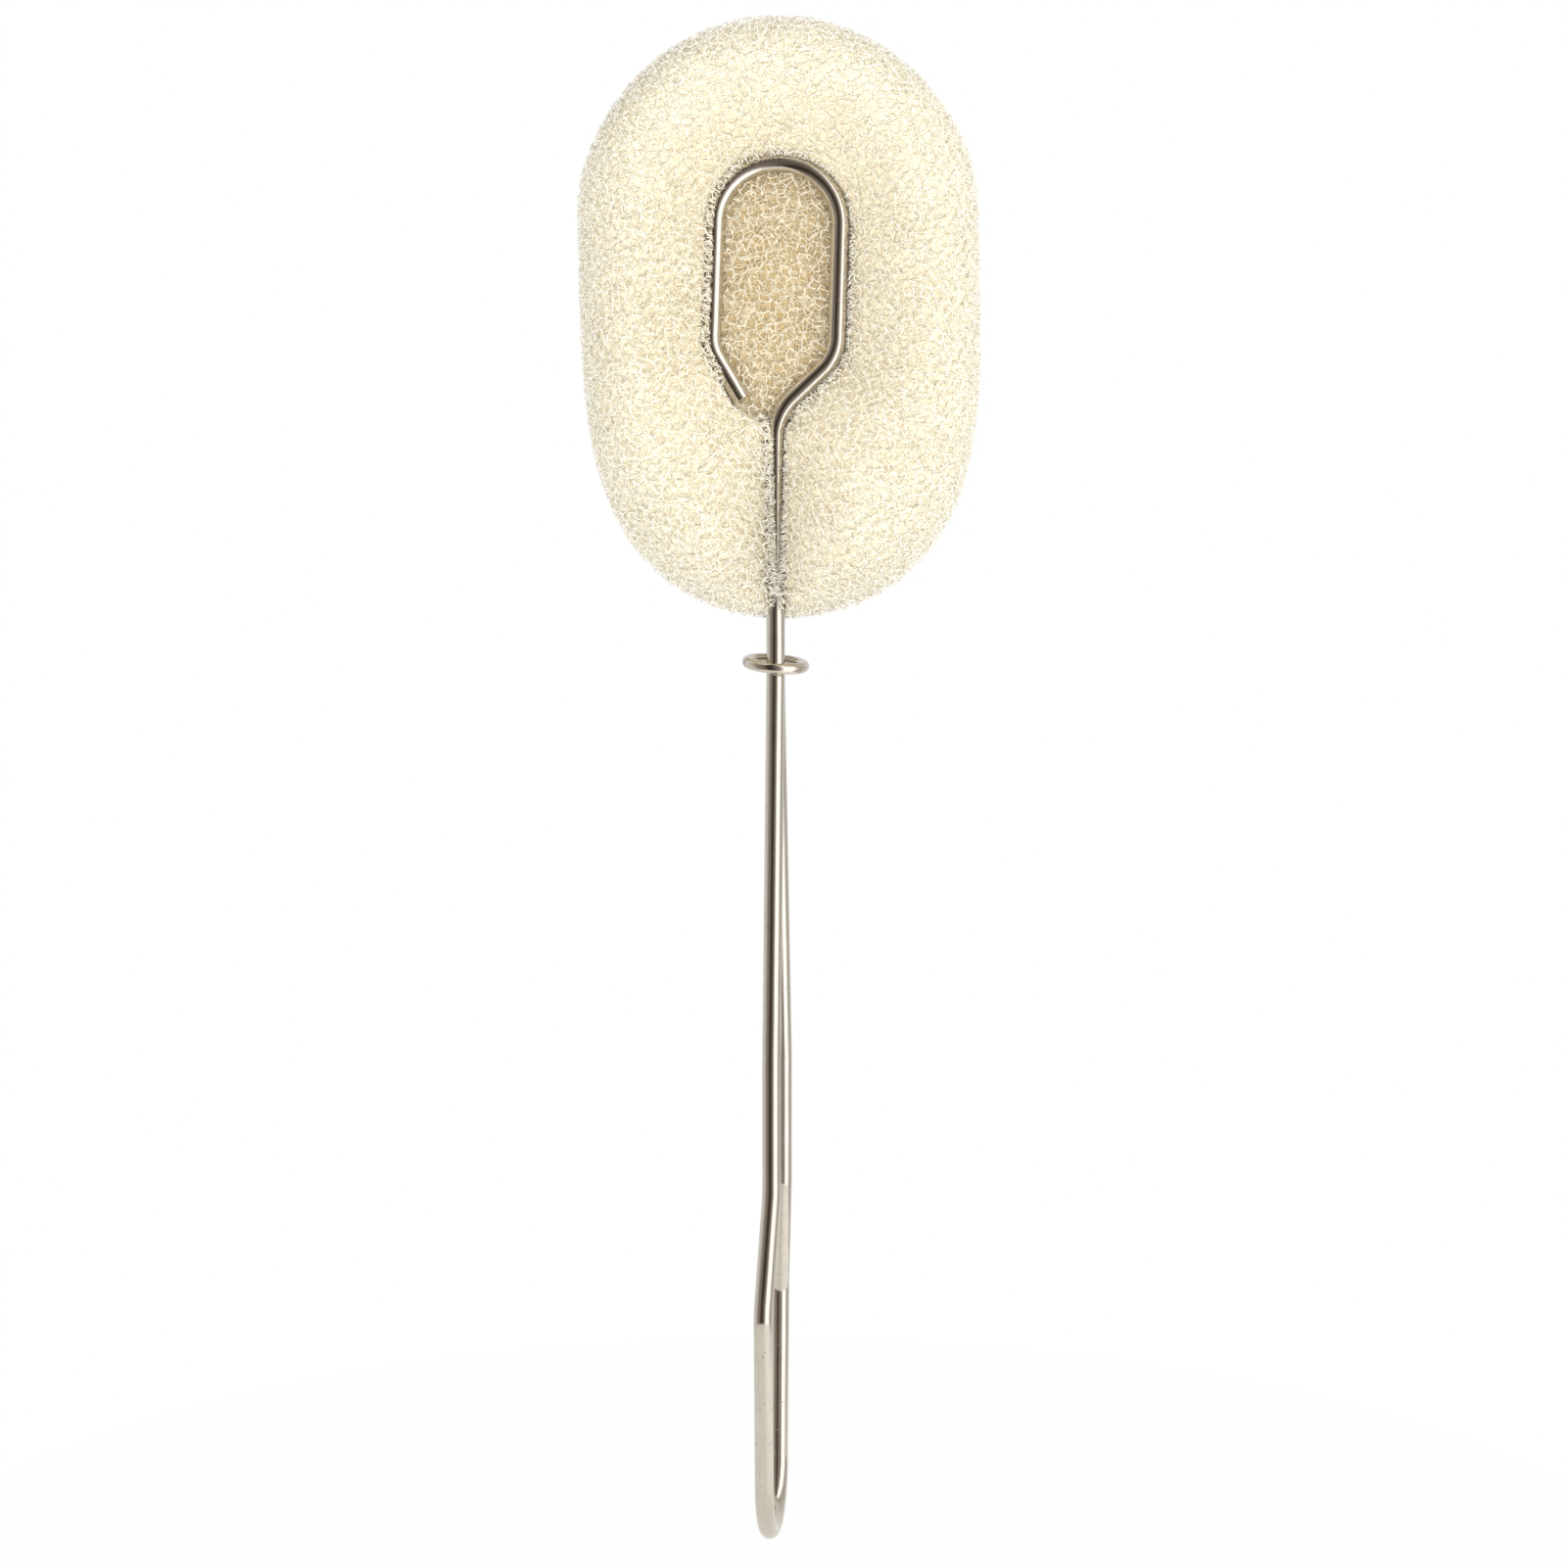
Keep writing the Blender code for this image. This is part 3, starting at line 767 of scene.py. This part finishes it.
def strutMesh(name, p, q, depths, rng, finish):  # rods of three sides, thinner in the middle
    count = len(p)
    run = q - p
    run /= np.linalg.norm(run, axis=1)[:, None]
    upright = np.array([[0.0, 0.0, 1.0]])
    level = np.array([[1.0, 0.0, 0.0]])
    across = np.cross(run, np.where(np.abs(run[:, 2:3]) < 0.8, upright, level))
    across /= np.linalg.norm(across, axis=1)[:, None]
    over = np.cross(run, across)
    spin = rng.random(count) * 2 * math.pi
    thickness = rng.uniform(*net["thickness"], count)
    middle = (p + q) / 2
    corners = np.empty((count, cornersPerStrut, 3))
    for k in range(3):
        angle = spin + k * 2 * math.pi / 3
        ray = across * np.cos(angle)[:, None] + over * np.sin(angle)[:, None]
        ray = ray * thickness[:, None]
        corners[:, k] = p + ray * net["endRadius"]
        corners[:, k + 3] = middle + ray * net["middleRadius"]
        corners[:, k + 6] = q + ray * net["endRadius"]
    pattern = []
    for first in (0, 3):
        for k in range(3):
            after = (k + 1) % 3
            pattern += [first + k, first + after, first + 3 + after, first + 3 + k]
    pattern = np.array(pattern + [0, 2, 1, 6, 7, 8])
    loops = (pattern[None] + cornersPerStrut * np.arange(count)[:, None]).ravel()
    lengths = np.tile(np.array([4] * 6 + [3] * 2), count)
    mesh = bpy.data.meshes.new(name)
    mesh.vertices.add(count * cornersPerStrut)
    mesh.vertices.foreach_set("co", corners.ravel())
    mesh.loops.add(len(loops))
    mesh.loops.foreach_set("vertex_index", loops)
    mesh.polygons.add(len(lengths))
    mesh.polygons.foreach_set("loop_start", np.concatenate([[0], np.cumsum(lengths)[:-1]]))
    mesh.update(calc_edges=True)
    # painted shade: deeper strands are coloured darker and warmer, as if shaded by the strands
    # above them, and the painted shade by the loop is added
    paintedShades = net["depthShade"] * depths / net["shell"] + paintedFoamShade(middle, *net["paintedShades"])
    writePaintedShade(mesh, np.repeat(np.clip(paintedShades, 0.0, 1.0), cornersPerStrut))
    patch = [(0, 0), (1, 0), (1, 1), (0, 1)] * 6 + [(0, 0), (1, 0), (0, 1)] * 2
    places = paintPlaces(middle, depths, patch)
    mesh.uv_layers.new(name="OFBake").data.foreach_set("uv", places.ravel())
    mesh.materials.append(finish.material)
    piece = bpy.data.objects.new(name, mesh)
    bpy.context.scene.collection.objects.link(piece)
    return piece


envelopePoints, envelopeFaces = envelope()
envelopeTree = BVHTree.FromPolygons([tuple(p) for p in envelopePoints], envelopeFaces)
linePoints = [p for side in (front, back) for p in filled(jawLines[side], net["wireStep"])]
wireTree = KDTree(len(linePoints))
for place, point in enumerate(linePoints):
    wireTree.insert(point, place)
wireTree.balance()
rng = np.random.default_rng(net["seed"])
strutStarts, strutEnds, strutDepths = spongeNet(envelopeTree, wireTree, rng)
fibreRoots, fibreTips = fibreEnds(rng)
strutStarts = np.concatenate([strutStarts, fibreRoots])
strutEnds = np.concatenate([strutEnds, fibreTips])
# the cut fibres get random depths, which set their painted shade and their place in the paint map
strutDepths = np.concatenate([strutDepths, rng.uniform(*fibre["depths"], len(fibreTips))])
strands = strutMesh("sponge_strands", strutStarts, strutEnds, strutDepths, rng,
                    foamFinish("foamStrands", net)[0])
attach(strands, "sponge")
print("strands:", len(strutStarts))

skinPoints, skinFaces = envelope(sponge["skinDepth"])
skinMesh = bpy.data.meshes.new("sponge_foam")
skinMesh.from_pydata([tuple(p) for p in skinPoints], [], skinFaces)
writePaintedShade(skinMesh, paintedFoamShade(skinPoints, *deepFoam["paintedShades"]))
skinMesh.materials.append(skinFinish())
skin = bpy.data.objects.new("sponge_foam", skinMesh)
bpy.context.scene.collection.objects.link(skin)
selectOnly(skin)
bpy.ops.object.mode_set(mode="EDIT")
bpy.ops.mesh.select_all(action="SELECT")
bpy.ops.mesh.normals_make_consistent(inside=False)
bpy.ops.object.mode_set(mode="OBJECT")
bpy.ops.object.shade_smooth()
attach(skin, "sponge")
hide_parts("sponge")
print("sponge made")

# floor, lamps and the room that the steel mirrors
studio = dict(
    floorRadius=160.0 * mm, floorCorners=128, floorDrop=0.02 * mm, floorTone=0.52, floorRough=0.9,
    glow=0.985,
    sheet=(0.88, 0.87, 0.83), sheetSteep=(0.73, 0.80), sheetRight=60.0 * mm, sheetGain=1.28,
    world=0.77, aim=(0.0, 0.0, 0.19),
    keyLight=dict(power=5.8, size=(0.5, 0.7), place=(0.85, -0.50, 0.62)),
    fillLight=dict(power=1.3, size=(0.6, 0.6), place=(-0.7, -0.45, 0.35)),
    lowLight=dict(power=3.4, size=(0.8, 0.3), place=(0.0, -0.55, -0.12)),
)
# how bright the room is at each bearing in degrees: 0 is the camera, 90 the right and 180 behind
roomTones = (
    (-180, 0.85), (-143, 0.86), (-115, 0.84), (-95, 0.76), (-79, 0.52), (-64, 0.30), (-50, 0.25),
    (-37, 0.17), (-25, 0.045), (-12, 0.05), (0, 0.16), (12, 0.25), (24, 0.75), (35, 1.9),
    (64, 1.9), (79, 0.82), (96, 0.47), (115, 0.66), (143, 0.84), (180, 0.85),
)
room = dict(paleFrom=0.8, palePower=0.6, darkTint=(1.0, 0.74, 0.56), paleTint=(1.0, 0.98, 0.96),
            luminance=(0.2126, 0.7152, 0.0722), level=0.961)
white = colour(1.0, 1.0, 1.0)

for name in ("keyLight", "fillLight", "lowLight"):
    settings = studio[name]
    light = bpy.data.lights.new(name, "AREA")
    light.shape = "RECTANGLE"
    light.size, light.size_y = settings["size"]
    light.energy = settings["power"]
    lamp = bpy.data.objects.new(name, light)
    lamp.location = settings["place"]
    way = Vector(studio["aim"]) - Vector(settings["place"])
    lamp.rotation_euler = way.to_track_quat("-Z", "Y").to_euler()
    bpy.context.scene.collection.objects.link(lamp)
    lamp.visible_glossy = False

bpy.ops.mesh.primitive_circle_add(vertices=studio["floorCorners"], radius=studio["floorRadius"],
                                  fill_type="NGON", location=(0.0, 0.0, -studio["floorDrop"]))
floor = bpy.context.object
floor.name = "floor"
pale = Finish("paleFloor")
pale.drive("Base Color", colour(*[studio["floorTone"]] * 3))
pale.drive("Roughness", studio["floorRough"])
cameraRay = pale.node("ShaderNodeLightPath", output="Is Camera Ray")
glow = pale.node("ShaderNodeEmission", Color=white, Strength=1.0)
shade = Value(pale.tree, pale.shader.outputs[0])
seen = pale.node("ShaderNodeMixShader", in_0=cameraRay * studio["glow"], in_1=shade, in_2=glow)
# for mirror rays the floor glows as a pale sheet, brighter to the right: a painted reflection that
# the steel shows from above; from low down the floor is clear and the steel mirrors the room beyond
# it
glossyRay = pale.node("ShaderNodeLightPath", output="Is Glossy Ray")
facing = pale.node("ShaderNodeLayerWeight", output="Facing", Blend=0.5)
steep = pale.spread(facing, *studio["sheetSteep"], 1.0, 0.0)
clear = pale.node("ShaderNodeBsdfTransparent")
toRight = pale.spread(pale.parts(pale.place())[0], 0.0, studio["sheetRight"])
brightSheet = [studio["sheetGain"] * part for part in studio["sheet"]]
sheetTone = pale.mix(toRight, colour(*studio["sheet"]), colour(*brightSheet))
sheet = pale.node("ShaderNodeEmission", Color=sheetTone, Strength=1.0)
mirrored = pale.node("ShaderNodeMixShader", in_0=steep, in_1=clear, in_2=sheet)
surface = pale.node("ShaderNodeMixShader", in_0=glossyRay, in_1=seen, in_2=mirrored)
pale.feed(pale.tree.nodes["Material Output"].inputs["Surface"], surface)
floor.data.materials.append(pale.material)


def mirrorColour(tone):  # the darker, the warmer; halved, because a ramp's colours stop at 1
    share = min(1.0, tone / room["paleFrom"]) ** room["palePower"]
    dark = np.array(room["darkTint"])
    tint = dark + (np.array(room["paleTint"]) - dark) * share
    tint = tint * tone * room["level"] / (tint @ np.array(room["luminance"])) / 2
    return tuple(float(part) for part in tint)


world = bpy.data.worlds.new("studio")
bpy.context.scene.world = world
world.use_nodes = True
world.node_tree.nodes.clear()
sky = NodeTree(world.node_tree)
east, north, _ = sky.parts(sky.node("ShaderNodeTexCoord", output="Generated"))
bearing = east.maths("ARCTAN2", north * -1.0)
around = sky.spread(bearing, -math.pi, math.pi)
stops = [((angle + 180) / 360, mirrorColour(tone)) for angle, tone in roomTones]
halved = sky.node("ShaderNodeValToRGB", {"stops": stops}, Fac=around)
mirroredRoom = sky.node("ShaderNodeVectorMath", {"operation": "SCALE"}, in_0=halved, in_3=2.0)
cameraRay = sky.node("ShaderNodeLightPath", output="Is Camera Ray")
glossyRay = sky.node("ShaderNodeLightPath", output="Is Glossy Ray")
plain = sky.mix(cameraRay, colour(*[studio["world"]] * 3), white)
shown = sky.mix(glossyRay, plain, mirroredRoom)
background = sky.node("ShaderNodeBackground", Color=shown, Strength=1.0)
sky.node("ShaderNodeOutputWorld", Surface=background)

# the photograph's camera: level, and its focal length is in pixels of the photograph
view = dict(focal=2500.0, frame=1601.0, sensor=36.0, place=(1.53 * mm, -450.0 * mm, 138.2 * mm))
cameraData = bpy.data.cameras.new("camera")
cameraData.sensor_width = view["sensor"]
cameraData.lens = view["focal"] / view["frame"] * view["sensor"]
camera = bpy.data.objects.new("camera", cameraData)
camera.location = view["place"]
camera.rotation_euler = (math.radians(90.0), 0.0, 0.0)
bpy.context.scene.collection.objects.link(camera)
bpy.context.scene.camera = camera
bpy.context.scene.view_settings.view_transform = "Standard"
print("studio set")
